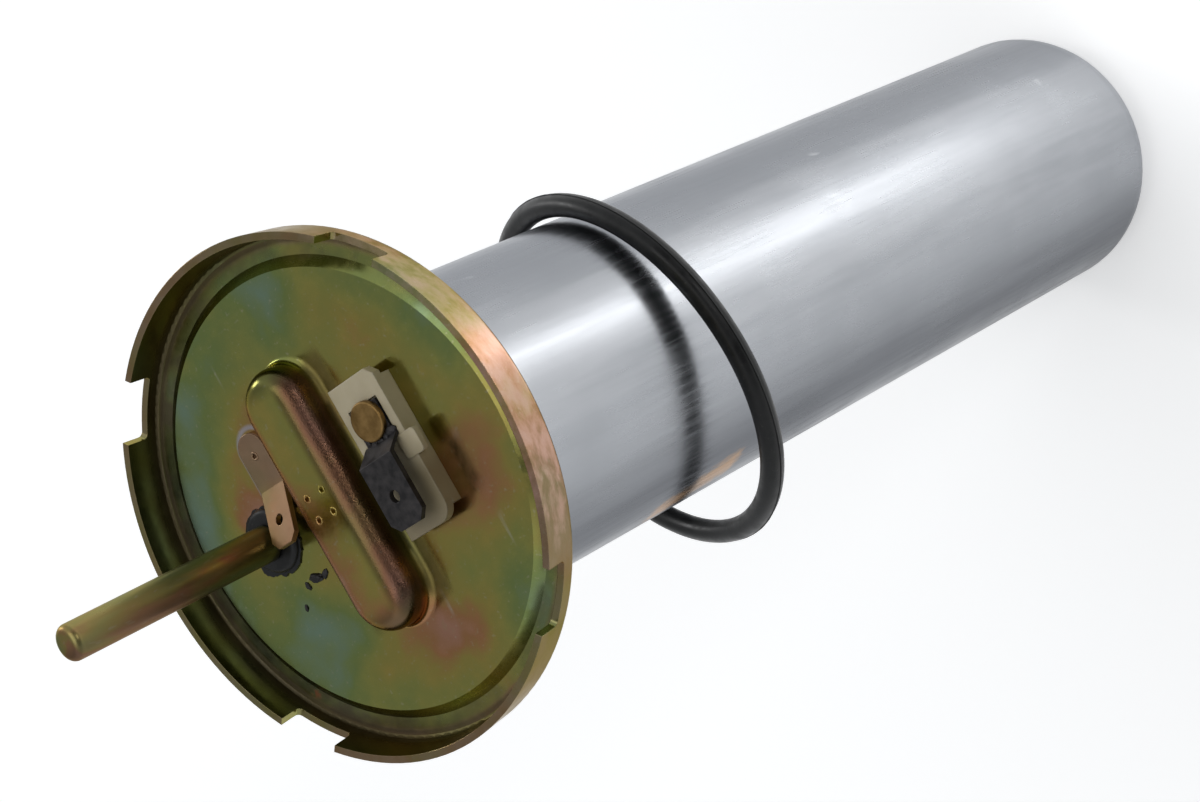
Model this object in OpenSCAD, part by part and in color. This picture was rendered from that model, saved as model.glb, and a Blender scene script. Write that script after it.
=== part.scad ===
// Fuel tank sending unit with an immersion tube.
// A pressed, zinc plated flange closes the tank. An aluminium tube hangs below it and
// holds a float that slides on a central rod and bridges two resistance wires.
// Millimetres. +Z points out of the tank, the origin is the centre of the flange seat.

/* [Flange] */
// Outside diameter of the flange at its seat
flange_d = 70; // [62:1:80]
// Thickness of the flange sheet
sheet_t = 1.0; // [0.8:0.1:1.2]
// Height of the upstanding rim above the seat
rim_h = 6.2; // [5:0.1:8]
// How far the rim leans outward from seat to lip
rim_flare = 0.4; // [0:0.1:1]
// Outside bend radius between seat and rim
rim_bend_r = 1.4; // [1.3:0.1:2]
// Number of locking notches in the rim
notch_count = 4; // [3:1:6]
// Width of a locking notch
notch_w = 9.2; // [6:0.1:12]
// Height of the rim left standing in a notch
notch_floor_h = 2.8; // [2.2:0.1:4]
// Corner radius at the foot of a notch
notch_corner_r = 0.7; // [0.3:0.1:1.5]
// Width of the flat seat channel and its rim bend
channel_w = 3.8; // [3:0.1:5]
// Radial width of the slope from channel to raised disc
step_w = 1.4; // [0.8:0.1:2]
// Height of the raised disc above the seat channel
disc_rise = 0.9; // [0.6:0.1:1.5]

/* [Stiffening rib] */
// Length of the rib between its upright walls
rib_l = 37.4; // [30:0.2:44]
// Width of the rib between its upright walls
rib_w = 10.6; // [9:0.2:12]
// Height of the rib above the disc
rib_h = 5.1; // [4.2:0.1:6]
// Radius of the rib's upper shoulder
rib_shoulder_r = 2.6; // [2:0.1:3.2]
// Radius of the fillet at the rib's foot
rib_foot_r = 1.0; // [0.5:0.1:1.4]
// Spacing of the four weld dimples on top of the rib
weld_pitch = 3.1; // [2.6:0.1:3.4]
// Diameter of a weld dimple
weld_dimple_d = 0.8; // [0.5:0.1:1]
// Depth of a weld dimple
weld_dimple_depth = 0.3; // [0.1:0.05:0.5]

/* [Vent pipe] */
// Outside diameter of the vent pipe
pipe_od = 5.0; // [4:0.1:5.4]
// Wall of the vent pipe
pipe_wall = 0.7; // [0.6:0.1:1]
// Distance of the vent pipe from the flange centre
pipe_x = 16.2; // [15.5:0.1:16.6]
// Outward lean of the vent pipe
pipe_lean = 6.4; // [0:0.2:8]
// Length of the vent pipe above the disc
pipe_out_l = 35.2; // [25:0.1:45]
// Length of the vent pipe below the disc top
pipe_in_l = 5.5; // [4:0.1:7]
// Thickness of the pipe's closed tip
pipe_tip_t = 1.2; // [0.8:0.1:2]
// Radius round the edge of the closed tip
pipe_edge = 1.0; // [0.5:0.1:1.4]
// Diameter of the black seal round the pipe's foot
seal_pad_d = 9.0; // [8:0.1:9.2]
// Height of the black seal round the pipe's foot
seal_pad_h = 1.0; // [0.8:0.1:1.1]

/* [Earth tab] */
// Width of the earth tab
tab_w = 4.9; // [4.8:0.1:6.3]
// Thickness of the earth tab
tab_t = 0.8; // [0.6:0.1:1]
// Distance of the tab's centre line from the flange centre
tab_x = 10.75; // [10:0.05:11]
// Position of the tab's bend along the rib
tab_bend_y = -5.7; // [-7:0.1:-5]
// Length of the welded foot
tab_foot_l = 7.9; // [6:0.1:9]
// Length of the raised blade
tab_blade_l = 8.3; // [7:0.1:9]
// Rise angle of the blade
tab_rise = 21.9; // [15:0.1:30]
// Diameter of the latch hole in the blade
tab_hole_d = 1.5; // [1.2:0.1:1.8]
// Distance of the latch hole from the blade's tip
tab_hole_inset = 3.6; // [3:0.1:4.5]
// Corner chamfer at the blade's tip
tab_tip_cut = 1.1; // [0.6:0.1:1.4]

/* [Terminal block] */
// Width of the terminal block across the flange
block_w = 8.5; // [8.2:0.1:9]
// Length of the terminal block's plate
block_l = 21.4; // [20.6:0.1:24]
// Height of the terminal block above the disc
block_h = 2.8; // [2.4:0.1:3.4]
// Thickness of the plate that overhangs the block's foot
block_plate_t = 1.3; // [1:0.1:1.5]
// How far the plate overhangs the foot at each end
block_overhang = 1.5; // [1:0.1:2]
// Chamfer on the block's outer corner beside the rivet
block_cut = 1.1; // [0.6:0.1:1.6]
// Radius of the block's outer corner beside the blade's tip
block_round_r = 2.4; // [1:0.1:3]
// Width of the block between its end and the terminal's pocket
block_bridge_w = 3.85; // [3.4:0.05:4.2]
// Distance of the block's centre line from the flange centre
block_x = 12.95; // [12.8:0.05:13.4]
// Position of the block's centre along the rib
block_y = -0.8; // [-1.5:0.1:0]
// Depth of the pocket for the terminal's root
pocket_depth = 0.6; // [0.3:0.1:0.7]
// Thickness of the plug latch
latch_t = 0.9; // [0.7:0.1:1.2]
// Height of the plug latch above the plate
latch_h = 0.2; // [0:0.05:0.4]
// Reach of the plug latch beyond the block's side
latch_reach = 1.6; // [1.4:0.1:2]
// Length of the plug latch
latch_l = 3.3; // [2.4:0.1:4]
// Width of the plug latch
latch_w = 3.5; // [2.8:0.1:3.8]
// Corner radius of the plug latch
latch_corner_r = 0.6; // [0.3:0.1:1]

/* [Signal blade] */
// Width of the signal blade
blade_w = 6.3; // [4.8:0.1:6.3]
// Thickness of the signal blade
blade_t = 0.8; // [0.6:0.1:0.8]
// Width of the blade's riveted root
root_w = 5.2; // [4.6:0.1:5.8]
// Length of the blade's riveted root
root_l = 4.8; // [4.4:0.1:5.2]
// Length of the sloping part between root and blade
ramp_l = 2.0; // [1.8:0.1:3]
// Rise of the blade above its root
blade_rise = 2.75; // [2.5:0.05:3.4]
// Length of the flat blade
blade_l = 9.2; // [8:0.1:10]
// Diameter of the latch hole in the blade
blade_hole_d = 1.7; // [1.4:0.1:2]
// Distance of the latch hole from the blade's tip
blade_hole_inset = 4.15; // [3.5:0.05:5]
// Corner chamfer at the blade's tip
blade_tip_cut = 1.2; // [0.6:0.1:1.6]

/* [Terminal rivet] */
// Diameter of the rivet shank
rivet_d = 3.0; // [2.5:0.1:3.2]
// Diameter of the rivet head
rivet_head_d = 5.4; // [4.6:0.1:5.6]
// Thickness of the rivet head
rivet_head_t = 0.7; // [0.5:0.1:1]
// Diameter of the closed end below the flange
rivet_clench_d = 4.6; // [4:0.1:5]
// Thickness of the closed end below the flange
rivet_clench_t = 0.8; // [0.6:0.1:1]
// Diameter of the block's boss in the flange hole
boss_d = 5.8; // [5.4:0.1:6]
// Diameter of the rubber washer below the flange
gasket_d = 9.0; // [8:0.1:9.4]
// Thickness of the rubber washer below the flange
gasket_t = 0.6; // [0.4:0.1:0.8]
// Diameter of the insulating bush below the flange
bush_d = 10.0; // [9.4:0.1:10.4]

/* [Immersion tube] */
// Outside diameter of the tube
can_d = 44.4; // [43:0.1:46]
// Wall of the tube
can_wall = 0.8; // [0.6:0.1:1]
// Length of the tube below the flange seat
can_l = 192; // [150:1:240]
// Outside radius of the tube's lower corner
can_corner_r = 8; // [6:0.5:9]
// Outside radius of the dished recess in the tube's end
dish_r = 10.5; // [9.5:0.1:11]
// Depth of the dished recess in the tube's end
dish_depth = 5.5; // [5.3:0.1:6.5]
// Number of fuel holes in the tube's end
fuel_hole_count = 4; // [2:1:6]
// Diameter of a fuel hole
fuel_hole_d = 2.5; // [1.5:0.1:2.8]
// Diameter of the breather hole near the tube's top
breather_d = 3; // [2:0.1:4]
// Depth of the breather hole below the flange seat
breather_z = 11; // [10:0.5:20]

/* [Guide rod and carriers] */
// Diameter of the guide rod
rod_d = 4.0; // [3.6:0.1:4.4]
// Length of the welded plate on top of the guide rod
rod_plate_l = 9; // [7:0.5:12]
// Thickness of the welded plate on top of the guide rod
rod_plate_t = 0.8; // [0.6:0.1:1.2]
// Length of the guide rod left below the nut
rod_tail_l = 0.9; // [0.6:0.1:1.1]
// Thickness of a carrier disc
carrier_t = 2.5; // [2:0.1:3]
// Height of a carrier's skirt
skirt_h = 4.0; // [3:0.1:5]
// Wall of a carrier's skirt
skirt_wall = 1.2; // [1:0.1:1.6]
// Distance from the lower carrier to the tube's end
carrier_inset = 12; // [11.5:0.1:16]
// Diameter of a flow hole in the lower carrier
flow_hole_d = 8; // [6:0.5:9]
// Diameter of a spring clip on the rod
clip_d = 8.4; // [7.4:0.1:9]
// Thickness of a spring clip on the rod
clip_t = 0.8; // [0.5:0.1:1]
// Diameter of a rubber stop on the rod
stop_d = 9.2; // [8:0.1:10]
// Height of a rubber stop on the rod
stop_h = 5; // [4:0.1:7]
// Diameter of the washer under the tube
washer_d = 9; // [8:0.1:11]
// Thickness of the washer under the tube
washer_t = 0.8; // [0.5:0.1:1]
// Width across flats of the nut under the tube
nut_af = 7; // [6.5:0.5:8]
// Height of the nut under the tube
nut_h = 3.2; // [2.4:0.1:3.4]

/* [Float] */
// Diameter of the float
float_d = 37; // [34:0.5:38]
// Height of the float
float_h = 24; // [18:0.5:30]
// Edge radius of the float
float_edge_r = 1.5; // [0.5:0.1:2.5]
// Outside diameter of the float's guide bush
guide_od = 6.8; // [6.2:0.1:7]
// Diameter of the bush's end collars
collar_d = 10; // [9:0.1:11]
// Thickness of the bush's end collars
collar_t = 1.0; // [0.8:0.1:1.5]
// Gap between the resting float and its lower stop
float_rest_gap = 0.2; // [0.1:0.1:1]
// Diameter of a wire channel through the float
channel_d = 4; // [3:0.1:5]
// Thickness of the contact leaf
leaf_t = 0.4; // [0.3:0.05:0.5]
// Width of the contact leaf
leaf_w = 5; // [4:0.1:6]
// Height of the leaf's raised tips
leaf_lift = 1.2; // [0.8:0.1:1.2]
// Distance of the leaf's pins from the rod axis
leaf_pin_y = 6.5; // [6.3:0.1:6.7]

/* [Resistance wires] */
// Distance of each resistance wire from the rod axis
wire_y = 10; // [9.8:0.1:10.5]
// Diameter of a resistance wire
wire_d = 0.3; // [0.2:0.05:0.4]
// Mean radius of the loop at the wire's upper end
wire_loop_r = 0.7; // [0.65:0.05:0.9]
// Diameter of the bead at the wire's lower end
bead_d = 1.2; // [1:0.1:1.6]
// Diameter of a wire pin's shank
pin_d = 1.8; // [1.4:0.1:2]
// Diameter of a wire pin's head and collar
pin_head_d = 3.3; // [2.8:0.1:3.6]
// Thickness of the inner connecting straps
strap_t = 0.5; // [0.3:0.1:0.7]
// Width of the inner connecting straps
strap_w = 4; // [3:0.1:4.4]
// Thickness of a wire tension spring
spring_t = 0.3; // [0.2:0.05:0.4]
// Width of a wire tension spring
spring_w = 3; // [2.4:0.1:3.6]
// Mean bend radius of a wire tension spring
spring_bend_r = 1.5; // [1.2:0.1:1.6]

/* [Sealing ring] */
// How much wider than the tube the ring is inside, on each side
ring_slack = 3.34; // [3.2:0.01:3.6]
// Section diameter of the sealing ring
ring_section_d = 3.4; // [3:0.1:3.6]
// Depth of the ring's centre below the flange seat
ring_depth = 59.5; // [50:0.5:120]
// Tilt of the ring where it hangs on the tube
ring_tilt = 22.4; // [20:0.1:22.6]
// Direction of the ring's tilt
ring_turn = 16.6; // [-180:0.2:180]
// Sideways shift of the ring's centre from the tube's axis
ring_shift = 2.67; // [2.3:0.01:2.8]

/* [Hidden] */
$fn = 96;

// Gap of two round pieces that are fitted together and stay still
fit_gap = 0.05;
// Gap of a loose hole or a slid-on cover
loose_gap = 0.25;
// Radial gap of the float's bush on the rod, and of the leaf on a wire
slide_gap = 0.06;
// Reach of a cutter past the face that it opens
over = 1;

// Levels of the pressed flange
disc_under_z = disc_rise;
disc_top_z = disc_rise + sheet_t;
rib_top_z = disc_top_z + rib_h;
rib_under_z = rib_top_z - sheet_t;
flange_r = flange_d / 2;
channel_in_r = flange_r - channel_w;
disc_r = channel_in_r - step_w;

// Terminal stack, from the rivet head down to the closed end
pocket_z = disc_top_z + block_h - pocket_depth;
root_top_z = pocket_z + blade_t;
carrier_under_z = disc_under_z - carrier_t;
bush_top_z = disc_under_z - gasket_t;
strap_under_z = carrier_under_z - strap_t;
root_y0 = block_y - block_l / 2 + block_bridge_w;
ramp_y0 = root_y0 + root_l;
rivet_at = [-block_x, ramp_y0 - rivet_head_d / 2 - fit_gap];
tab_weld_inset = 0.7;

// The latch starts where the blade's slope has risen clear of it
latch_y0 = ramp_y0 + ramp_l * (pocket_depth + latch_h + 2 * fit_gap) / blade_rise;

// Levels inside the tube
can_r = can_d / 2;
can_in_r = can_r - can_wall;
carrier_r = can_in_r - loose_gap;
dish_under_z = -can_l + dish_depth;
low_under_z = -can_l + carrier_inset;
low_top_z = low_under_z + carrier_t;
top_clip_z = strap_under_z - clip_t;
low_stop_z = low_top_z + clip_t;
float_z = low_stop_z + stop_h + float_rest_gap + collar_t;
leaf_z = float_z + float_h;
bush_top_collar_z = leaf_z + leaf_t;
leaf_rim_w = 2;
leaf_slope_l = 1.1;
leaf_land_in = 1.1;
leaf_land_out = 1.8;
leaf_rise_y = wire_y - leaf_land_in;
leaf_flat_y = leaf_rise_y - leaf_slope_l;
leaf_tip_y = wire_y + leaf_land_out;
leaf_pin_d = 1.2;
leaf_pin_l = 3.5;
leaf_pin_head_d = 2.2;
leaf_pin_head_t = 0.5;
rod_end_z = dish_under_z - washer_t - nut_h - rod_tail_l;
rod_plate_w = rib_w - 2 * rib_shoulder_r - 2 * fit_gap;
dish_slope_w = 1.5;

// Vent pipe: the shoulder over its spigot clears the seal below it
spigot_d = pipe_od - 0.6;
pipe_seat = seal_pad_h + sin(pipe_lean) * pipe_od / 2 + fit_gap;

// Round ends of the inner straps
strap_rim_w = 0.7;
strap_eye_swell = 0.4;
pin_eye_d = strap_w + strap_eye_swell;

// Wire ends
eye_drop = 2.8;
eye_z = strap_under_z - eye_drop;
eye_hole_r = 0.5;
eye_web = 0.45;
eye_w = 2.4;
eye_t = 0.6;
pin_collar_t = 1.0;
pin_head_t = 0.7;
pin_head_sink = 0.3;
loop_offset = 0.2;
loop_z = eye_z - wire_loop_r - loop_offset;
spring_arm_z = low_under_z - spring_t - 2 * spring_bend_r;
spring_base_l = 6;
spring_base_x = 3;
spring_nose_l = 1.6;
stake_x = 6;
stake_d = 1.8;
stake_head_d = 3;
stake_head_t = 0.8;
bead_z = spring_arm_z - bead_d;

ring_r = can_r + ring_slack + ring_section_d / 2;

// Concave corner of radius r in the first quadrant
module corner_web(r) {
    difference() {
        square(r);
        translate([r, r]) circle(r);
    }
}

// Half section of the sheet from centre to rim lip, in radius and height
module sheet_section() {
    bend_in_r = rim_bend_r - sheet_t;
    translate([0, disc_under_z]) square([disc_r, sheet_t]);
    polygon([
        [disc_r, disc_under_z], [disc_r, disc_top_z],
        [channel_in_r, sheet_t], [channel_in_r, 0]
    ]);
    translate([channel_in_r, 0]) square([flange_r - rim_bend_r - channel_in_r, sheet_t]);
    intersection() {
        translate([flange_r - rim_bend_r, rim_bend_r]) difference() {
            circle(rim_bend_r);
            circle(bend_in_r);
        }
        translate([flange_r - rim_bend_r, 0]) square(rim_bend_r);
    }
    polygon([
        [flange_r - sheet_t, rim_bend_r], [flange_r, rim_bend_r],
        [flange_r + rim_flare, rim_h], [flange_r + rim_flare - sheet_t, rim_h]
    ]);
}

// Half section of the rib: flat top, round shoulder, upright wall and foot fillet
module rib_section(wall_r, top_z, shoulder_r, foot_r, foot_z, base_z) {
    translate([0, base_z]) square([wall_r - shoulder_r, top_z - base_z]);
    translate([0, base_z]) square([wall_r, top_z - shoulder_r - base_z]);
    intersection() {
        translate([wall_r - shoulder_r, top_z - shoulder_r]) circle(shoulder_r);
        translate([wall_r - shoulder_r, top_z - shoulder_r]) square(shoulder_r);
    }
    translate([wall_r, foot_z]) corner_web(foot_r);
    translate([wall_r, base_z]) square([foot_r, foot_z - base_z]);
}

// Stadium-shaped solid that carries a half section round both ends and along its sides
module stadium_sweep(between) {
    for (turn = [0, 180])
        rotate([0, 0, turn]) translate([0, between / 2, 0]) rotate_extrude(angle = 180) children();
    rotate([90, 0, 0]) linear_extrude(between, center = true) {
        children();
        mirror([1, 0]) children();
    }
}

// Moves children to the foot of the vent pipe, along its leaning axis
module at_pipe() {
    translate([pipe_x, 0, disc_top_z]) rotate([0, pipe_lean, 0]) children();
}

// Moves children to each resistance wire
module at_wires() {
    for (side = [-1, 1])
        translate([0, side * wire_y, 0]) children();
}

// Opening in the rim with rounded foot corners, cut along the radius
module notch_cutter() {
    reach = rim_flare + 2 * sheet_t + over;
    translate([flange_r - 2 * sheet_t, 0, notch_floor_h]) rotate([90, 0, 90]) linear_extrude(reach + over) {
        translate([-notch_w / 2, notch_corner_r]) square([notch_w, rim_h]);
        translate([-notch_w / 2 + notch_corner_r, 0]) square([notch_w - 2 * notch_corner_r, rim_h]);
        for (side = [-1, 1])
            translate([side * (notch_w / 2 - notch_corner_r), notch_corner_r]) circle(notch_corner_r);
    }
}

module flange_plate() {
    rib_between = rib_l - rib_w;
    color("darkkhaki") difference() {
        union() {
            rotate_extrude() sheet_section();
            stadium_sweep(rib_between)
                rib_section(rib_w / 2, rib_top_z, rib_shoulder_r,
                    rib_foot_r, disc_top_z, disc_under_z + sheet_t / 2);
        }
        stadium_sweep(rib_between)
            rib_section(rib_w / 2 - sheet_t, rib_under_z, rib_shoulder_r - sheet_t,
                rib_foot_r + sheet_t, disc_under_z, -over);
        for (i = [0 : notch_count - 1])
            rotate([0, 0, (i + 0.5) * 360 / notch_count]) notch_cutter();
        for (sx = [-1, 1], sy = [-1, 1])
            translate([sx * weld_pitch / 2, sy * weld_pitch / 2, rib_top_z - weld_dimple_depth])
                cylinder(h = over, d = weld_dimple_d);
        at_pipe() cylinder(h = 4 * sheet_t + over, d = spigot_d + 2 * fit_gap, center = true);
        translate([rivet_at[0], rivet_at[1], disc_under_z - over])
            cylinder(h = sheet_t + 2 * over, d = boss_d + 2 * fit_gap);
    }
}

// Straight pipe with a closed, rounded tip and a narrower spigot that passes the flange
module vent_pipe() {
    bore_r = pipe_od / 2 - pipe_wall;
    edge_at = [pipe_od / 2 - pipe_edge, pipe_out_l - pipe_edge];
    color("goldenrod") at_pipe() rotate_extrude() difference() {
        union() {
            translate([0, -pipe_in_l]) square([spigot_d / 2, pipe_in_l + pipe_seat]);
            translate([0, pipe_seat]) square([pipe_od / 2, edge_at[1] - pipe_seat]);
            translate([0, pipe_seat]) square([edge_at[0], pipe_out_l - pipe_seat]);
            translate(edge_at) intersection() {
                circle(pipe_edge);
                square(pipe_edge);
            }
        }
        translate([-over, -pipe_in_l - over])
            square([bore_r + over, pipe_in_l + over + pipe_out_l - pipe_tip_t]);
    }
}

module pipe_seal() {
    pad_r = seal_pad_d / 2;
    round_r = seal_pad_h * 0.8;
    color("dimgray") difference() {
        translate([pipe_x, 0, disc_top_z]) rotate_extrude() {
            square([pad_r - round_r, seal_pad_h]);
            square([pad_r, seal_pad_h - round_r]);
            intersection() {
                translate([pad_r - round_r, seal_pad_h - round_r]) circle(round_r);
                translate([pad_r - round_r, seal_pad_h - round_r]) square(round_r);
            }
        }
        at_pipe() cylinder(h = 4 * seal_pad_h, d = spigot_d + 2 * fit_gap, center = true);
    }
}

// Flat tab seen from above: square end at y = 0, cut corners at y = length
module tab_outline(width, length, cut) {
    polygon([
        [-width / 2, 0], [width / 2, 0], [width / 2, length - cut],
        [width / 2 - cut, length], [cut - width / 2, length], [-width / 2, length - cut]
    ]);
}

module earth_tab() {
    color("rosybrown") translate([tab_x, tab_bend_y, disc_top_z]) {
        difference() {
            linear_extrude(tab_t) {
                translate([-tab_w / 2, tab_w / 2 - tab_foot_l]) square([tab_w, tab_foot_l - tab_w / 2]);
                translate([0, tab_w / 2 - tab_foot_l]) circle(tab_w / 2);
            }
            translate([0, tab_w / 2 - tab_foot_l + tab_weld_inset, tab_t - weld_dimple_depth])
                cylinder(h = over, d = weld_dimple_d);
        }
        rotate([tab_rise, 0, 0]) difference() {
            linear_extrude(tab_t) tab_outline(tab_w, tab_blade_l, tab_tip_cut);
            translate([0, tab_blade_l - tab_hole_inset, -over]) cylinder(h = tab_t + 2 * over, d = tab_hole_d);
        }
    }
}

// Rectangle about the origin with four round corners
module rounded_outline(width, length, r) {
    square([width - 2 * r, length], center = true);
    square([width, length - 2 * r], center = true);
    for (sx = [-1, 1], sy = [-1, 1])
        translate([sx * (width / 2 - r), sy * (length / 2 - r)]) circle(r);
}

// Outline of the block's plate, one outer corner cut and the other round
module block_outline() {
    round_at = [block_round_r - block_w / 2, block_l / 2 - block_round_r];
    translate(round_at) circle(block_round_r);
    polygon([
        [block_w / 2, -block_l / 2], [block_w / 2, block_l / 2],
        [round_at[0], block_l / 2], [-block_w / 2, round_at[1]],
        [-block_w / 2, block_cut - block_l / 2], [block_cut - block_w / 2, -block_l / 2]
    ]);
}

module terminal_block() {
    foot_l = block_l - 2 * block_overhang;
    pocket_w = root_w + 2 * loose_gap;
    slope_in_l = ramp_l * pocket_depth / blade_rise;
    latch_top_z = disc_top_z + block_h + latch_h;
    plate_x = -block_x - block_w / 2;
    color("antiquewhite") difference() {
        union() {
            translate([-block_x, block_y, disc_top_z + block_h - block_plate_t])
                linear_extrude(block_plate_t) block_outline();
            translate([plate_x, block_y - foot_l / 2, disc_top_z])
                cube([block_w, foot_l, block_h - block_plate_t]);
            translate([rivet_at[0], rivet_at[1], disc_under_z]) cylinder(h = sheet_t + block_h / 2, d = boss_d);
            translate([plate_x - latch_reach + latch_w / 2, latch_y0 + latch_l / 2, latch_top_z - latch_t])
                linear_extrude(latch_t) rounded_outline(latch_w, latch_l, latch_corner_r);
        }
        translate([-block_x - pocket_w / 2, root_y0 - loose_gap, pocket_z])
            cube([pocket_w, root_l + loose_gap + fit_gap, block_h]);
        translate([-block_x - blade_w / 2 - fit_gap, ramp_y0, pocket_z])
            cube([blade_w + 2 * fit_gap, slope_in_l + fit_gap, block_h]);
        translate([rivet_at[0], rivet_at[1], disc_under_z - over])
            cylinder(h = block_h + sheet_t + 2 * over, d = rivet_d + 2 * fit_gap);
    }
}

// Side view of the signal blade: root, slope and raised blade
module blade_side() {
    flat_y = ramp_y0 + ramp_l;
    tip_y = flat_y + blade_l;
    polygon([
        [root_y0, pocket_z], [ramp_y0, pocket_z],
        [flat_y, pocket_z + blade_rise], [tip_y, pocket_z + blade_rise],
        [tip_y, root_top_z + blade_rise], [flat_y, root_top_z + blade_rise],
        [ramp_y0, root_top_z], [root_y0, root_top_z]
    ]);
}

// Top view of the signal blade: narrow root, wider blade with cut corners
module blade_top() {
    translate([-root_w / 2, root_y0]) square([root_w, root_l]);
    translate([0, ramp_y0]) tab_outline(blade_w, ramp_l + blade_l, blade_tip_cut);
}

module signal_blade() {
    tip_y = ramp_y0 + ramp_l + blade_l;
    color("darkslategray") difference() {
        intersection() {
            translate([-block_x - blade_w / 2, 0, 0]) rotate([90, 0, 90]) linear_extrude(blade_w) blade_side();
            translate([-block_x, 0, pocket_z - over])
                linear_extrude(blade_rise + blade_t + 2 * over) blade_top();
        }
        translate([rivet_at[0], rivet_at[1], pocket_z - over])
            cylinder(h = blade_t + 2 * over, d = rivet_d + 2 * fit_gap);
        translate([-block_x, tip_y - blade_hole_inset, pocket_z])
            cylinder(h = blade_rise + blade_t + over, d = blade_hole_d);
    }
}

module terminal_rivet() {
    head_round = rivet_head_t * 0.4;
    color("peru") translate([rivet_at[0], rivet_at[1], 0]) rotate_extrude() {
        translate([0, strap_under_z]) square([rivet_d / 2, root_top_z - strap_under_z]);
        translate([0, root_top_z]) square([rivet_head_d / 2 - head_round, rivet_head_t]);
        translate([0, root_top_z]) square([rivet_head_d / 2, rivet_head_t - head_round]);
        translate([rivet_head_d / 2 - head_round, root_top_z + rivet_head_t - head_round]) circle(head_round);
        translate([0, strap_under_z - rivet_clench_t]) square([rivet_clench_d / 2, rivet_clench_t]);
    }
}

// Flat ring between two levels
module washer(outer_d, inner_d, low_z, high_z) {
    translate([0, 0, low_z]) difference() {
        cylinder(h = high_z - low_z, d = outer_d);
        translate([0, 0, -over]) cylinder(h = high_z - low_z + 2 * over, d = inner_d);
    }
}

module rivet_gasket() {
    color("black") translate([rivet_at[0], rivet_at[1], 0])
        washer(gasket_d, rivet_d + 2 * fit_gap, bush_top_z, disc_under_z);
}

module rivet_bush() {
    color("linen") translate([rivet_at[0], rivet_at[1], 0])
        washer(bush_d, rivet_d + 2 * fit_gap, carrier_under_z, bush_top_z);
}

// Flat strap with a round eye at each end
module strap(from, to, eye_from_d, eye_to_d, hole_from_d, hole_to_d) {
    run = to - from;
    translate([0, 0, strap_under_z]) linear_extrude(strap_t) difference() {
        union() {
            translate(from) circle(d = eye_from_d);
            translate(to) circle(d = eye_to_d);
            translate(from) rotate(atan2(run[1], run[0])) translate([0, -strap_w / 2])
                square([norm(run), strap_w]);
        }
        translate(from) circle(d = hole_from_d);
        translate(to) circle(d = hole_to_d);
    }
}

module signal_strap() {
    color("peru") strap(rivet_at, [0, -wire_y], rivet_clench_d + 2 * strap_rim_w, pin_eye_d,
        rivet_d + 2 * fit_gap, pin_d + 2 * fit_gap);
}

module earth_strap() {
    color("peru") strap([0, 0], [0, wire_y], clip_d, pin_eye_d,
        rod_d + 2 * fit_gap, pin_d + 2 * fit_gap);
}

module wire_pins() {
    head_top_z = disc_under_z - pin_head_sink;
    eye_bottom_z = eye_z - eye_hole_r - eye_web;
    collar_z = strap_under_z - pin_collar_t;
    color("gold") at_wires() {
        translate([0, 0, head_top_z - pin_head_t]) cylinder(h = pin_head_t, d = pin_head_d);
        translate([0, 0, strap_under_z]) cylinder(h = head_top_z - strap_under_z, d = pin_d);
        translate([0, 0, collar_z]) cylinder(h = pin_collar_t, d = pin_head_d);
        difference() {
            translate([-eye_t / 2, -eye_w / 2, eye_bottom_z]) cube([eye_t, eye_w, collar_z - eye_bottom_z]);
            translate([0, 0, eye_z]) rotate([0, 90, 0])
                cylinder(h = eye_t + over, r = eye_hole_r, center = true);
        }
    }
}

// Disc with a skirt that centres the tube; the skirt stands on the side given by up
module carrier(low_z, up) {
    skirt_z = up ? low_z + carrier_t : low_z - skirt_h;
    translate([0, 0, low_z]) cylinder(h = carrier_t, r = carrier_r);
    washer(2 * carrier_r, 2 * (carrier_r - skirt_wall), skirt_z, skirt_z + skirt_h);
}

module upper_carrier() {
    sink_z = disc_under_z - pin_head_sink - pin_head_t;
    color("ivory") difference() {
        carrier(carrier_under_z, false);
        translate([0, 0, carrier_under_z - over])
            cylinder(h = carrier_t + 2 * over, d = rod_d + 2 * fit_gap);
        at_pipe() cylinder(h = 6 * skirt_h, d = spigot_d + 2 * loose_gap, center = true);
        translate([rivet_at[0], rivet_at[1], carrier_under_z - over])
            cylinder(h = carrier_t + 2 * over, d = bush_d + 2 * loose_gap);
        at_wires() {
            translate([0, 0, carrier_under_z - over]) cylinder(h = carrier_t + 2 * over, d = pin_d + 2 * fit_gap);
            translate([0, 0, sink_z]) cylinder(h = carrier_t, d = pin_head_d + 2 * fit_gap);
        }
    }
}

module lower_carrier() {
    stake_under_z = low_under_z - spring_t;
    color("ivory") {
        difference() {
            carrier(low_under_z, true);
            translate([0, 0, low_under_z - over]) cylinder(h = carrier_t + 2 * over, d = rod_d + 2 * fit_gap);
            at_wires() translate([0, 0, low_under_z - over])
                cylinder(h = carrier_t + 2 * over, d = bead_d + 2 * loose_gap);
            for (side = [-1, 1])
                translate([side * 0.65 * carrier_r, 0, low_under_z - over])
                    cylinder(h = carrier_t + 2 * over, d = flow_hole_d);
        }
        for (turn = [0, 180])
            rotate([0, 0, turn]) translate([-stake_x, -wire_y, stake_under_z - stake_head_t]) {
                cylinder(h = stake_head_t, d = stake_head_d);
                cylinder(h = stake_head_t + spring_t, d = stake_d);
            }
    }
}

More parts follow.
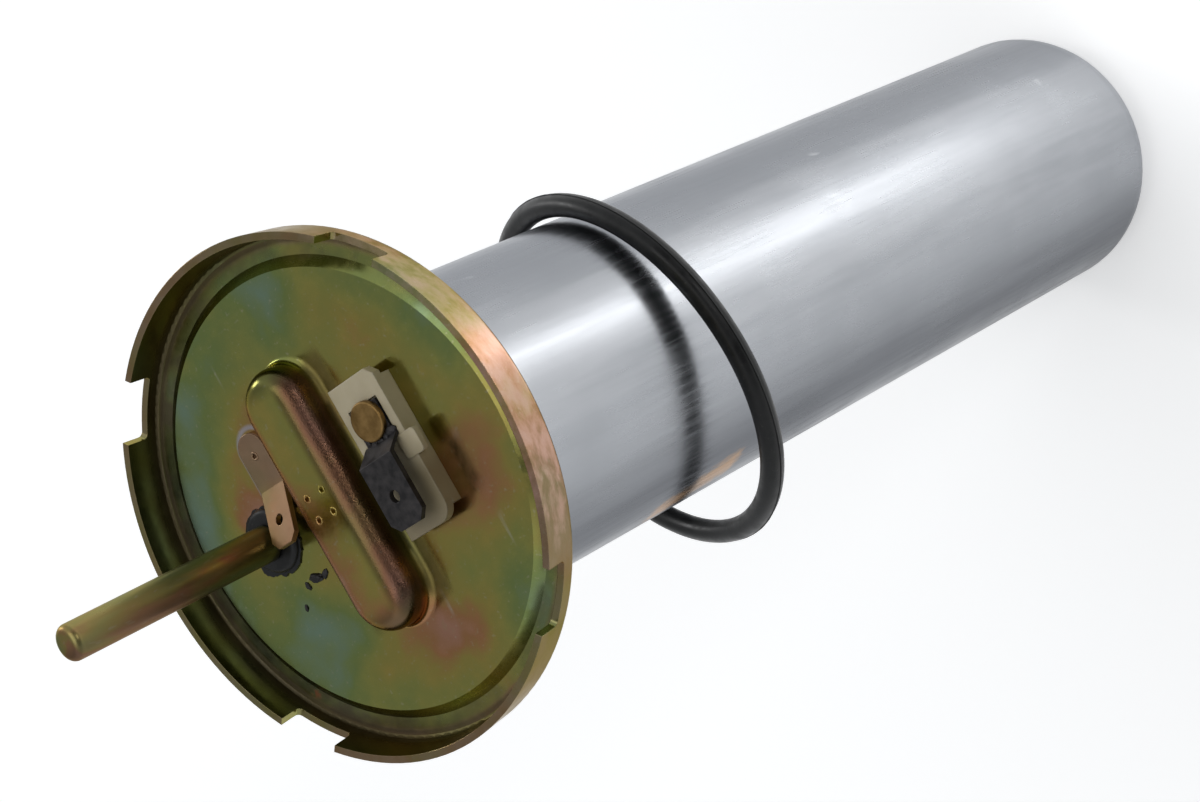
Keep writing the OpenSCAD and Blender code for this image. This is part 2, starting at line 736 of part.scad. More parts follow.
// Half section of the tube's solid form, drawn in by an inset: round lower corner, dished end
module tube_form(inset, top_z) {
    wall_r = can_r - inset;
    corner_r = can_corner_r - inset;
    low_z = inset - can_l;
    difference() {
        union() {
            translate([0, low_z + corner_r]) square([wall_r, top_z - low_z - corner_r]);
            translate([0, low_z]) square([wall_r - corner_r, corner_r]);
            translate([wall_r - corner_r, low_z + corner_r]) intersection() {
                circle(corner_r);
                translate([0, -corner_r]) square(corner_r);
            }
        }
        polygon([
            [-over, low_z - over], [dish_r + inset, low_z - over], [dish_r + inset, low_z],
            [dish_r + inset - dish_slope_w, dish_under_z + inset], [-over, dish_under_z + inset]
        ]);
    }
}

module immersion_tube() {
    color("silver") difference() {
        rotate_extrude() difference() {
            tube_form(0, disc_under_z);
            tube_form(can_wall, disc_under_z + over);
        }
        translate([0, 0, dish_under_z - over]) cylinder(h = can_wall + 2 * over, d = rod_d + 2 * loose_gap);
        for (i = [0 : fuel_hole_count - 1])
            rotate([0, 0, (i + 0.5) * 360 / fuel_hole_count])
                translate([(dish_r + can_r - can_corner_r) / 2, 0, -can_l - over])
                    cylinder(h = can_wall + 2 * over, d = fuel_hole_d);
        translate([can_in_r - over, 0, -breather_z]) rotate([0, 90, 0])
            cylinder(h = can_wall + 2 * over, d = breather_d);
    }
}

module guide_rod() {
    plate_z = rib_under_z - rod_plate_t;
    tip = rod_d / 8;
    color("lightsteelblue") {
        translate([-rod_plate_w / 2, -rod_plate_l / 2, plate_z]) cube([rod_plate_w, rod_plate_l, rod_plate_t]);
        rotate_extrude() polygon([
            [0, rod_end_z], [rod_d / 2 - tip, rod_end_z], [rod_d / 2, rod_end_z + tip],
            [rod_d / 2, plate_z], [0, plate_z]
        ]);
    }
}

// Push-on clip with gripping slots round its bore
module rod_clip(low_z) {
    slots = 6;
    slot_l = (clip_d - rod_d) / 4;
    slot_w = slot_l / 2;
    difference() {
        washer(clip_d, rod_d + 2 * fit_gap, low_z, low_z + clip_t);
        for (i = [0 : slots - 1])
            rotate([0, 0, i * 360 / slots]) translate([rod_d / 2, -slot_w / 2, low_z - over])
                cube([slot_l, slot_w, clip_t + 2 * over]);
    }
}

module rod_clips() {
    color("lightslategray") {
        rod_clip(top_clip_z);
        rod_clip(low_top_z);
        rod_clip(low_under_z - clip_t);
    }
}

// Rubber stop with rounded rims
module stop_ring(low_z) {
    edge = 0.8;
    translate([0, 0, low_z]) rotate_extrude() translate([rod_d / 2 + fit_gap, 0]) {
        wall = stop_d / 2 - rod_d / 2 - fit_gap;
        square([wall - edge, stop_h]);
        translate([0, edge]) square([wall, stop_h - 2 * edge]);
        for (z = [edge, stop_h - edge])
            translate([wall - edge, z]) circle(edge);
    }
}

module stop_rings() {
    color("black") {
        stop_ring(top_clip_z - stop_h);
        stop_ring(low_stop_z);
    }
}

// Resistance wire with a loop on the pin's eye and a bead below its spring
module resistance_wire() {
    straight_top_z = loop_z - wire_loop_r;
    translate([0, 0, loop_z]) rotate([90, 0, 0]) rotate_extrude()
        translate([wire_loop_r, 0]) circle(d = wire_d);
    translate([0, 0, bead_z]) cylinder(h = straight_top_z - bead_z, d = wire_d);
    translate([0, 0, bead_z]) cylinder(h = spring_arm_z - bead_z, d = bead_d);
}

module signal_wire() {
    color("dimgray") translate([0, -wire_y, 0]) resistance_wire();
}

module earth_wire() {
    color("dimgray") translate([0, wire_y, 0]) resistance_wire();
}

// Leaf folded back on itself: staked base, round bend, free arm that holds the bead
module wire_springs() {
    mid_r = spring_bend_r;
    arm_l = spring_base_x + spring_base_l;
    color("goldenrod") for (turn = [0, 180])
        rotate([0, 0, turn]) translate([0, -wire_y, 0]) difference() {
            translate([0, spring_w / 2, 0]) rotate([90, 0, 0]) linear_extrude(spring_w) {
                translate([-arm_l, low_under_z - spring_t]) square([spring_base_l, spring_t]);
                translate([-arm_l, spring_arm_z]) square([arm_l + spring_nose_l, spring_t]);
                translate([-arm_l, low_under_z - spring_t / 2 - mid_r]) intersection() {
                    difference() {
                        circle(mid_r + spring_t / 2);
                        circle(mid_r - spring_t / 2);
                    }
                    translate([-2 * mid_r, -2 * mid_r]) square([2 * mid_r, 4 * mid_r]);
                }
            }
            translate([-stake_x, 0, low_under_z - spring_t - mid_r])
                cylinder(h = mid_r + spring_t + over, d = stake_d + 2 * fit_gap);
            translate([0, 0, spring_arm_z - over]) cylinder(h = spring_t + 2 * over, d = wire_d + 2 * fit_gap);
        }
}

module end_washer() {
    color("black") washer(washer_d, rod_d + 2 * fit_gap, dish_under_z - washer_t, dish_under_z);
}

module end_nut() {
    nut_top_z = dish_under_z - washer_t;
    color("lightgray") difference() {
        translate([0, 0, nut_top_z - nut_h]) cylinder(h = nut_h, d = nut_af / cos(30), $fn = 6);
        translate([0, 0, nut_top_z - nut_h - over]) cylinder(h = nut_h + 2 * over, d = rod_d + 2 * fit_gap);
    }
}

module sealing_ring() {
    color("black") rotate([0, 0, ring_turn]) translate([0, ring_shift, -ring_depth]) rotate([0, ring_tilt, 0])
        rotate_extrude() translate([ring_r, 0]) circle(d = ring_section_d);
}

module float_body() {
    r = float_d / 2;
    e = float_edge_r;
    color("darkslategray") difference() {
        translate([0, 0, float_z]) rotate_extrude() translate([guide_od / 2 + fit_gap, 0]) {
            wall = r - guide_od / 2 - fit_gap;
            square([wall - e, float_h]);
            translate([0, e]) square([wall, float_h - 2 * e]);
            for (z = [e, float_h - e])
                translate([wall - e, z]) circle(e);
        }
        at_wires() translate([0, 0, float_z - over]) cylinder(h = float_h + 2 * over, d = channel_d);
        for (side = [-1, 1])
            translate([0, side * leaf_pin_y, leaf_z - leaf_pin_l - loose_gap])
                cylinder(h = leaf_pin_l + loose_gap + over, d = leaf_pin_d + 2 * fit_gap);
    }
}

module float_bush() {
    bore_d = rod_d + 2 * slide_gap;
    color("whitesmoke") {
        washer(guide_od, bore_d, float_z - collar_t, bush_top_collar_z + collar_t);
        washer(collar_d, guide_od - 1, float_z - collar_t, float_z);
        washer(collar_d, guide_od - 1, bush_top_collar_z, bush_top_collar_z + collar_t);
    }
}

// Upper or lower line of the contact leaf from the side, from tip to tip
function leaf_line(z) = [
    for (p = [[-leaf_tip_y, leaf_lift], [-leaf_rise_y, leaf_lift], [-leaf_flat_y, 0],
              [leaf_flat_y, 0], [leaf_rise_y, leaf_lift], [leaf_tip_y, leaf_lift]])
        [p[0], z + p[1]]
];

// Side view of the contact leaf: flat middle, slopes and raised tips
module leaf_side() {
    upper = leaf_line(leaf_z + leaf_t);
    polygon(concat(leaf_line(leaf_z), [for (i = [len(upper) - 1 : -1 : 0]) upper[i]]));
}

// Top view of the contact leaf: round middle, straight arms, a slot for each wire and a hole for each pin
module leaf_top() {
    slot_w = wire_d + 2 * slide_gap;
    difference() {
        union() {
            circle(d = guide_od + 2 * leaf_rim_w);
            square([leaf_w, 2 * leaf_tip_y], center = true);
        }
        circle(d = guide_od + 2 * fit_gap);
        for (turn = [0, 180])
            rotate(turn) {
                translate([0, leaf_pin_y]) circle(d = leaf_pin_d + 2 * fit_gap);
                translate([0, wire_y]) circle(d = slot_w);
                translate([-slot_w / 2, wire_y]) square([slot_w, leaf_tip_y - wire_y + over]);
            }
    }
}

module contact_leaf() {
    pad_w = guide_od + 2 * leaf_rim_w;
    color("peru") intersection() {
        translate([-pad_w / 2, 0, 0]) rotate([90, 0, 90]) linear_extrude(pad_w) leaf_side();
        translate([0, 0, leaf_z - over]) linear_extrude(leaf_lift + leaf_t + 2 * over) leaf_top();
    }
}

module leaf_pins() {
    color("lightgray") for (side = [-1, 1])
        translate([0, side * leaf_pin_y, 0]) {
            translate([0, 0, leaf_z - leaf_pin_l]) cylinder(h = leaf_pin_l + leaf_t, d = leaf_pin_d);
            translate([0, 0, leaf_z + leaf_t]) cylinder(h = leaf_pin_head_t, d = leaf_pin_head_d);
        }
}

flange_plate();
vent_pipe();
pipe_seal();
earth_tab();
terminal_block();
signal_blade();
terminal_rivet();
rivet_gasket();
rivet_bush();
signal_strap();
earth_strap();
wire_pins();
upper_carrier();
immersion_tube();
guide_rod();
rod_clips();
stop_rings();
lower_carrier();
signal_wire();
earth_wire();
wire_springs();
end_washer();
end_nut();
sealing_ring();
float_body();
float_bush();
contact_leaf();
leaf_pins();
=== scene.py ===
import math

import bpy
from mathutils import Matrix, Vector


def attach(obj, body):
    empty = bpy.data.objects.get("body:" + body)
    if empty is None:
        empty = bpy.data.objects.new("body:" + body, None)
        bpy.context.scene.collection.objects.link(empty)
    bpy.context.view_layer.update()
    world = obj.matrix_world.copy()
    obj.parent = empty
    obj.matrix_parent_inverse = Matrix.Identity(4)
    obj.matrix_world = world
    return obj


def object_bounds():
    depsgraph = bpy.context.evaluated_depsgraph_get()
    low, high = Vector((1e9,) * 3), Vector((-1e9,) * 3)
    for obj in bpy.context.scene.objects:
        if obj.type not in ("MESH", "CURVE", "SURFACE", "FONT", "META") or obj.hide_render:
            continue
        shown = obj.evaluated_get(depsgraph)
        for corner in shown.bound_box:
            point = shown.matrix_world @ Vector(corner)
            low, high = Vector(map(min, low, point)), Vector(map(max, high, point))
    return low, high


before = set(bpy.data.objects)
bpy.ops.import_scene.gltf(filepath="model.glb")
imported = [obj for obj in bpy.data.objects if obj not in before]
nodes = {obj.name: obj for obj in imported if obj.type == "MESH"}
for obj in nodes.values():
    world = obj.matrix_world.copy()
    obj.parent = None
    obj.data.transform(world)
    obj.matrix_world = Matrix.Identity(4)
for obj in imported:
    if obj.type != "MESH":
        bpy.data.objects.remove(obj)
cad_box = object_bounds()
bpy.context.scene.view_settings.view_transform = "Standard"


# Camera: a long lens looks down on the flange from the terminal side, rolled so that the tube runs up to
# the right, as the loose unit lay in front of it.
camera = bpy.data.objects.new("camera", bpy.data.cameras.new("camera"))
bpy.context.scene.collection.objects.link(camera)
bpy.context.scene.camera = camera
camera.data.lens = 83.61
camera.data.sensor_width = 36.0
camera.data.clip_start = 0.01
camera.matrix_world = Matrix((
    (-0.64521, -0.404875, -0.647905, -0.25624),
    (0.496373, -0.866816, 0.047364, 0.02280),
    (-0.580791, -0.291043, 0.760247, 0.25031),
    (0, 0, 0, 1),
))


# Studio: a sheet of white paper under the tube's end, lit well enough to read white, with a soft shadow.
# The sky is brighter all round than in the two quarters that the flat disc and the tube mirror to the lens.
def put(tree, kind, inputs=None, **settings):
    """A new shader node. Its inputs take plain values or the sockets that feed them."""
    made = tree.nodes.new("ShaderNode" + kind)
    for name, value in settings.items():
        setattr(made, name, value)
    for name, value in (inputs or {}).items():
        if isinstance(value, bpy.types.NodeSocket):
            tree.links.new(value, made.inputs[name])
        else:
            made.inputs[name].default_value = value
    return made


def maths(tree, operation, a, b=0.0, clamp=False):
    return put(tree, "Math", {0: a, 1: b}, operation=operation, use_clamp=clamp).outputs[0]


def times(tree, first, *others):
    for other in others:
        first = maths(tree, "MULTIPLY", first, other)
    return first


def plus(tree, first, *others):
    for other in others:
        first = maths(tree, "ADD", first, other)
    return first


def minus(tree, first, other):
    return maths(tree, "SUBTRACT", first, other)


def vectors(tree, operation, a, b=(0.0, 0.0, 0.0)):
    """A vector operation. Lengths, distances and dot products come as values."""
    made = put(tree, "VectorMath", {0: a, 1: b}, operation=operation)
    return made.outputs["Value" if operation in ("LENGTH", "DISTANCE", "DOT_PRODUCT") else "Vector"]


def spread(tree, value, low, high, to_low=0.0, to_high=1.0):
    """Maps a range smoothly onto another range."""
    limits = {"From Min": low, "From Max": high, "To Min": to_low, "To Max": to_high}
    return put(tree, "MapRange", {"Value": value, **limits}, interpolation_type="SMOOTHSTEP").outputs[0]


def blank_material(name):
    """A new material with an empty Principled shader, as (material, tree, shader)."""
    material = bpy.data.materials.new(name)
    material.use_nodes = True
    tree = material.node_tree
    tree.nodes.clear()
    shader = put(tree, "BsdfPrincipled")
    put(tree, "OutputMaterial", {"Surface": shader.outputs[0]})
    return material, tree, shader


def feed(tree, shader, **sockets):
    """Sets or links the shader's sockets, named with underscores for spaces."""
    for name, value in sockets.items():
        socket = shader.inputs[name.replace("_", " ")]
        if isinstance(value, bpy.types.NodeSocket):
            tree.links.new(value, socket)
        elif isinstance(value, tuple) and len(socket.default_value) == 4:
            socket.default_value = (*value, 1.0)
        else:
            socket.default_value = value


floor_z = cad_box[0][2] - 0.0004
bpy.ops.object.select_all(action="DESELECT")
bpy.ops.mesh.primitive_plane_add(size=6.0, location=(0, 0, floor_z))
floor = bpy.context.object
floor.name = "floor"
floor.data.transform(floor.matrix_world)
floor.matrix_world = Matrix.Identity(4)
paper, tree, shader = blank_material("white_paper")
seen = put(tree, "LightPath").outputs
looked_at = maths(tree, "MAXIMUM", seen["Is Glossy Ray"], seen["Is Transmission Ray"])
looked_at = maths(tree, "MAXIMUM", seen["Is Camera Ray"], looked_at)
feed(tree, shader, Base_Color=(0.86, 0.86, 0.86), Roughness=0.9, Specular_IOR_Level=0.0,
     Emission_Color=(1.0, 1.0, 1.0), Emission_Strength=times(tree, looked_at, 0.37))
floor.data.materials.append(paper)


def toward(azimuth, elevation):
    """Unit vector from the object to that place in the sky, in degrees."""
    a, e = math.radians(azimuth), math.radians(elevation)
    return Vector((math.cos(e) * math.cos(a), math.cos(e) * math.sin(a), math.sin(e)))


open_sky, sky_over_disc, share_over_tube = 0.66, 0.37, 0.20
world = bpy.data.worlds.new("studio")
bpy.context.scene.world = world
world.use_nodes = True
tree = world.node_tree
tree.nodes.clear()
sky = put(tree, "TexCoord").outputs["Generated"]
over_disc = spread(tree, vectors(tree, "DOT_PRODUCT", sky, toward(-5, 44)), 0.72, 0.94, open_sky, sky_over_disc)
over_tube = spread(tree, vectors(tree, "DOT_PRODUCT", sky, toward(184, 38)), 0.60, 0.84, 1.0, share_over_tube)
backdrop = put(tree, "Background", {"Color": (0.94, 0.97, 1.0, 1.0), "Strength": times(tree, over_disc, over_tube)})
put(tree, "OutputWorld", {"Surface": backdrop.outputs[0]})


def add_light(name, kind):
    """A lamp of that kind, linked into the scene, as (lamp, its object)."""
    lamp = bpy.data.lights.new(name, kind)
    holder = bpy.data.objects.new(name, lamp)
    bpy.context.scene.collection.objects.link(holder)
    return lamp, holder


def aim(holder, direction):
    holder.rotation_euler = direction.to_track_quat("-Z", "Y").to_euler()


for name, azimuth, elevation, level, width in (("window", -170, 24, 0.09, 14), ("ceiling", -100, 80, 0.22, 55)):
    sun, holder = add_light(name, "SUN")
    sun.energy = math.pi * level            # at a level of 1 it alone shows a white surface that faces it as white
    sun.angle = math.radians(width)
    aim(holder, -toward(azimuth, elevation))

low_lamp, holder = add_light("low_lamp", "AREA")
low_lamp.energy = 1.2
low_lamp.size = 0.20
holder.location = toward(-45, 12) * 0.9
aim(holder, -holder.location)

strip_turn, strip_away, strip_over_floor = -155, 0.155, 0.03
floor_strip, holder = add_light("floor_strip", "AREA")
floor_strip.energy = 0.068
floor_strip.shape = "RECTANGLE"
floor_strip.size, floor_strip.size_y = 0.20, 0.013
holder.location = toward(strip_turn, 0) * strip_away + Vector((0, 0, floor_z + strip_over_floor))
holder.rotation_euler = (0, 0, math.radians(strip_turn))


# Flange: steel sheet, pressed and punched, then zinc plated and yellow chromated. The film's thickness wanders,
# so its colour drifts between olive, gold, pink and grey green. Vent pipe and earth tab went through the same bath.
def blend(tree, share, a, b):
    """Mixes two colours."""
    made = tree.nodes.new("ShaderNodeMix")
    made.data_type = "RGBA"
    for socket, value in ((made.inputs[0], share), (made.inputs[6], a), (made.inputs[7], b)):
        if isinstance(value, bpy.types.NodeSocket):
            tree.links.new(value, socket)
        else:
            socket.default_value = value if isinstance(value, float) else (*value, 1.0)
    return made.outputs[2]


def palette(tree, value, stops):
    """A colour ramp, from (place, colour) pairs."""
    made = put(tree, "ValToRGB", {"Fac": value})
    ramp = made.color_ramp
    while len(ramp.elements) < len(stops):
        ramp.elements.new(0.5)
    for element, (place, colour) in zip(ramp.elements, stops):
        element.position = place
        element.color = (*colour, 1.0)
    return made.outputs[0]


def place_of(tree):
    return put(tree, "TexCoord").outputs["Object"]


def parts(tree, vector):
    return put(tree, "SeparateXYZ", {0: vector}).outputs


def noise(tree, vector, scale, detail=3.0, rough=0.5, twist=0.0):
    look = {"Scale": scale, "Detail": detail, "Roughness": rough, "Distortion": twist}
    return put(tree, "TexNoise", {"Vector": vector, **look}).outputs["Fac"]


def stretched(tree, vector, scale, turn=(0.0, 0.0, 0.0)):
    return put(tree, "Mapping", {"Vector": vector, "Scale": scale, "Rotation": turn}).outputs[0]


def bumped(tree, height, distance, strength, normal=None):
    """Normals of a surface with these heights, over the normals given."""
    made = put(tree, "Bump", {"Height": height, "Distance": distance, "Strength": strength})
    if normal is not None:
        tree.links.new(normal, made.inputs["Normal"])
    return made.outputs[0]


def soft_edge(tree, radius):
    """Normals that round the sharp edges of a CAD piece."""
    return put(tree, "Bevel", {"Radius": radius}, samples=4).outputs[0]


def near(tree, vector, place, reach, amount=1.0):
    """A soft spot round a place given in millimetres, with reach as (full, none) in millimetres."""
    away = vectors(tree, "DISTANCE", vector, tuple(0.001 * value for value in place))
    return spread(tree, away, 0.001 * reach[0], 0.001 * reach[1], amount, 0.0)


def band(tree, value, rise, fall):
    """A mask that rises between the first two values and falls between the others."""
    return times(tree, spread(tree, value, *rise), spread(tree, value, *fall, 1.0, 0.0))


def effect(name, takes, gives):
    """A new node group with these sockets, as (group, its incoming values, its outgoing sockets)."""
    group = bpy.data.node_groups.new(name, "ShaderNodeTree")
    for socket, kind, value in takes:
        made = group.interface.new_socket(socket, in_out="INPUT", socket_type="NodeSocket" + kind)
        if value is not None:
            made.default_value = value
    for socket, kind in gives:
        group.interface.new_socket(socket, in_out="OUTPUT", socket_type="NodeSocket" + kind)
    return group, group.nodes.new("NodeGroupInput").outputs, group.nodes.new("NodeGroupOutput").inputs


def use(tree, group, **values):
    """Places a node group in a material and returns its outputs."""
    made = tree.nodes.new("ShaderNodeGroup")
    made.node_tree = group
    for name, value in values.items():
        if isinstance(value, bpy.types.NodeSocket):
            tree.links.new(value, made.inputs[name])
        else:
            made.inputs[name].default_value = (*value, 1.0) if isinstance(value, tuple) else value
    return made.outputs


def dress(material, *names):
    """Gives CAD nodes a finish."""
    for name in names:
        slots = nodes[name].data.materials
        slots.clear()
        slots.append(material)


film, given, out = effect("chromate_film", (("Place", "Vector", None), ("Shift", "Float", 0.0)),
                          (("Color", "Color"), ("Roughness", "Float"), ("Height", "Float")))
broad = noise(film, given["Place"], 30.0, 1.0, 0.5, 0.8)
patchy = noise(film, given["Place"], 95.0, 2.0, 0.5, 0.6)
cloud = noise(film, given["Place"], 420.0, 4.0, 0.65)
thick = plus(film, times(film, broad, 0.66), plus(film, times(film, patchy, 0.24), times(film, cloud, 0.08)))
thick = plus(film, thick, plus(film, given["Shift"], 0.02))
tint = palette(film, thick, (
    (0.24, (0.24, 0.35, 0.27)),     # grey green, where the film is thinnest
    (0.36, (0.23, 0.29, 0.100)),
    (0.45, (0.32, 0.32, 0.092)),    # olive
    (0.53, (0.38, 0.31, 0.085)),    # gold
    (0.60, (0.42, 0.21, 0.095)),    # copper
    (0.66, (0.46, 0.24, 0.16)),     # pink
    (0.74, (0.30, 0.31, 0.15)),
    (0.84, (0.22, 0.30, 0.21)),     # grey green again
))
speck = spread(film, noise(film, given["Place"], 1500.0, 2.0, 0.6), 0.62, 0.74)
tint = blend(film, times(film, speck, 0.35), tint, (0.50, 0.47, 0.33))
gloss = plus(film, times(film, cloud, 0.6), times(film, patchy, 0.4))
peel = noise(film, given["Place"], 900.0, 3.0, 0.55)
dents = noise(film, given["Place"], 230.0, 2.0, 0.5)
film.links.new(tint, out["Color"])
film.links.new(spread(film, gloss, 0.35, 0.65, 0.13, 0.27), out["Roughness"])
film.links.new(plus(film, times(film, peel, 0.2), dents), out["Height"])

scratches, given, out = effect("hairline_scratches", (("Place", "Vector", None), ("Density", "Float", 0.5)),
                               (("Mask", "Float"),))
lines = None
for turn, scale in ((0.35, 260.0), (1.25, 330.0), (2.3, 290.0)):
    drawn_out = stretched(scratches, given["Place"], (1.0, 0.035, 0.3), (0.1, 0.2, turn))
    thread = noise(scratches, drawn_out, scale, 2.0, 0.5, 0.15)
    broken = noise(scratches, given["Place"], 95.0 + 20.0 * turn, 2.0, 0.5)
    gaps_from = minus(scratches, 0.72, times(scratches, given["Density"], 0.2))
    line = times(scratches, spread(scratches, thread, 0.665, 0.70), spread(scratches, broken, gaps_from, 0.76))
    lines = line if lines is None else maths(scratches, "MAXIMUM", lines, line)
scratches.links.new(lines, out["Mask"])

zinc, tree, shader = blank_material("yellow_chromate")
spot = place_of(tree)
x, y, z = parts(tree, spot)
off_line, along_rib = maths(tree, "ABSOLUTE", x), maths(tree, "ABSOLUTE", y)
flat = put(tree, "CombineXYZ", {0: x, 1: y}).outputs[0]
radius = vectors(tree, "LENGTH", flat)
outwards = vectors(tree, "NORMALIZE", flat)
plain = put(tree, "NewGeometry").outputs["Normal"]

# where the rib, its shoulders and ends, and the two faces of the rim are
on_rib = times(tree, spread(tree, z, 0.0026, 0.0042), spread(tree, radius, 0.0215, 0.0235, 1.0, 0.0))
beside = spread(tree, off_line, 0.0024, 0.0044)
shaded_far_shoulder = times(tree, on_rib, spread(tree, x, -0.0016, -0.0036))
shaded_rib_end = times(tree, on_rib, spread(tree, along_rib, 0.0145, 0.0175))
turned_out = vectors(tree, "DOT_PRODUCT", plain, outwards)
in_rim = spread(tree, radius, 0.0322, 0.0334)
outward = times(tree, in_rim, spread(tree, turned_out, -0.25, 0.1))
inward = times(tree, in_rim, spread(tree, turned_out, -0.1, -0.4))

# the film, thicker or thinner in places, with hairline scratches
shift = near(tree, spot, (-6, 23, 2), (1, 15), 0.10)
for place, reach, thicker in (
    ((9, -15, 2), (1, 8), 0.05),
    ((1, -27, 2), (2, 14), -0.20),
    ((15, -23, 2), (2, 12), -0.20),
    ((-13, -6, 2), (1, 12), 0.03),
    ((19, -4, 2), (2, 9), 0.10),
    ((-22, 2, 2), (2, 12), -0.05),
    ((18, 16, 2), (2, 12), -0.13),
    ((25, -10, 2), (2, 15), -0.16),
    ((16, -7, 2), (4, 8), 0.14),
):
    shift = plus(tree, shift, near(tree, spot, place, reach, thicker))
shift = plus(tree, shift, spread(tree, radius, 0.0235, 0.0290, 0.0, -0.09),
             times(tree, on_rib, plus(tree, times(tree, beside, 0.10), 0.05)), times(tree, outward, 0.15))
coat = use(tree, film, Place=spot, Shift=shift)
busy = plus(tree, near(tree, spot, (9.5, 18, 1.9), (2, 6), 0.5), 0.5)
worn = use(tree, scratches, Place=spot, Density=busy)["Mask"]
worn_zinc = (0.62, 0.60, 0.52)
bare = blend(tree, times(tree, worn, 0.30), coat["Color"], worn_zinc)

# the rim's outside: pink where the film is thick, and painted shade, dark olive, on the parts turned away from the
# terminal side
streaks = noise(tree, stretched(tree, spot, (1.0, 1.0, 2.0)), 250.0, 4.0, 0.6, 0.2)
bare = blend(tree, times(tree, outward, spread(tree, streaks, 0.30, 0.70, 0.10, 0.62)), bare, (0.58, 0.41, 0.35))
# painted shade: the outer face darkens as it turns away from azimuth 192
drifting = plus(tree, vectors(tree, "DOT_PRODUCT", outwards, toward(192, 0)),
                spread(tree, streaks, 0.3, 0.7, -0.10, 0.10))
bare = blend(tree, times(tree, outward, spread(tree, drifting, 0.98, 0.72, 0.0, 0.74)), bare, (0.17, 0.15, 0.075))

# the rib: painted shade, dark copper on the shoulder on the terminal side and dark olive brown at its ends
# painted shade on the rib's shoulder and ends
bare = blend(tree, times(tree, shaded_far_shoulder, 0.80), bare, (0.075, 0.038, 0.028))
bare = blend(tree, times(tree, shaded_rib_end, 0.68), bare, (0.075, 0.075, 0.035))

# a fleck of rust; grime in random patches in the channel, with painted shade in the channel and on the rim's inner
# face that deepens toward +x; painted shade along the rib's foot
rusty = times(tree, near(tree, spot, (24.7, 20.2, 0.6), (0.3, 1.5)),
              spread(tree, noise(tree, spot, 1300.0, 3.0, 0.6), 0.40, 0.55))
bare = blend(tree, rusty, bare, (0.42, 0.12, 0.03))
# painted shade: darker toward +x, in the channel and on the rim's inner face
plus_x_shade = spread(tree, x, -0.004, 0.022, 0.10, 0.50)
patches = spread(tree, noise(tree, spot, 160.0, 3.0, 0.6), 0.35, 0.62, 0.0, 0.42)
in_channel = band(tree, radius, (0.0300, 0.0312), (0.0330, 0.0338))
channel_grime_and_shade = times(tree, in_channel, plus(tree, plus_x_shade, patches))
bare = blend(tree, channel_grime_and_shade, bare, (0.105, 0.085, 0.055))
# painted shade over the whole inner face of the rim, deeper toward +x
bare = blend(tree, times(tree, inward, plus(tree, plus_x_shade, 0.34)), bare, (0.12, 0.085, 0.055))
# painted shade in the fillet along the rib's foot
painted_foot_shade = times(tree, band(tree, off_line, (0.0040, 0.0052), (0.0074, 0.0086)),
             spread(tree, along_rib, 0.0165, 0.0185, 1.0, 0.0), spread(tree, z, 0.0030, 0.0050, 1.0, 0.0))
bare = blend(tree, times(tree, painted_foot_shade, 0.65), bare, (0.11, 0.08, 0.035))

# the pale halo that welding left round the tab's foot
tab_x, tab_foot_y = 0.01075, (-0.01115, -0.006)
on_foot = put(tree, "Clamp", {"Value": y, "Min": tab_foot_y[0], "Max": tab_foot_y[1]}).outputs[0]
foot_line = put(tree, "CombineXYZ", {0: tab_x, 1: on_foot}).outputs[0]
halo = times(tree, band(tree, vectors(tree, "DISTANCE", flat, foot_line), (0.0026, 0.0030), (0.0031, 0.0037)),
             spread(tree, z, 0.0022, 0.0028, 1.0, 0.0))
bare = blend(tree, times(tree, halo, 0.8), bare, (0.52, 0.48, 0.52))

# the inner bend between channel and rim: rougher, and darkened with painted shade
bend = times(tree, band(tree, radius, (0.0326, 0.0332), (0.0338, 0.0344)), spread(tree, z, 0.0020, 0.0030, 1.0, 0.0))
bare = blend(tree, times(tree, bend, 0.55), bare, (0.09, 0.07, 0.04))

# sheet that was drawn hard is rougher, as on the rib's shoulders; only the rim's cut edges are rounded
strained = times(tree, on_rib, beside)
pebbles = times(tree, noise(tree, spot, 4600.0, 2.0, 0.6), strained)
rougher_places = plus(tree, channel_grime_and_shade, rusty, bend, painted_foot_shade)
matt = plus(tree, coat["Roughness"], times(tree, rougher_places, 0.3), times(tree, strained, 0.10))
cut_edge = times(tree, spread(tree, radius, 0.0332, 0.0336), spread(tree, z, 0.0018, 0.0024))
fine = bumped(tree, pebbles, 0.00008, 0.7, blend(tree, cut_edge, plain, soft_edge(tree, 0.00015)))
surface = minus(tree, coat["Height"], times(tree, worn, 0.25))
feed(tree, shader, Base_Color=bare, Metallic=1.0, Specular_Tint=(0.60, 0.53, 0.40), Roughness=matt,
     Normal=bumped(tree, surface, 0.00004, 0.45, fine))
dress(zinc, "flange_plate")


# Vent pipe: drawn steel tube in the same yellow chromate, with lengthwise bands of gold, olive and copper.
# Its +y side is darker and browner from painted shade, and the film is thinner round its foot.
pipe_zinc, tree, shader = blank_material("chromate_on_pipe")
spot = place_of(tree)
along = stretched(tree, spot, (1.0, 1.0, 0.22))
bands = noise(tree, along, 240.0, 2.0, 0.5, 0.3)
at_foot = near(tree, spot, (16.4, 0, 3), (2, 12), -0.16)
coat = use(tree, film, Place=along, Shift=plus(tree, at_foot, spread(tree, bands, 0.35, 0.65, -0.12, 0.17)))
worn = use(tree, scratches, Place=spot, Density=0.4)["Mask"]
tone = blend(tree, 0.42, coat["Color"], (0.18, 0.115, 0.085))
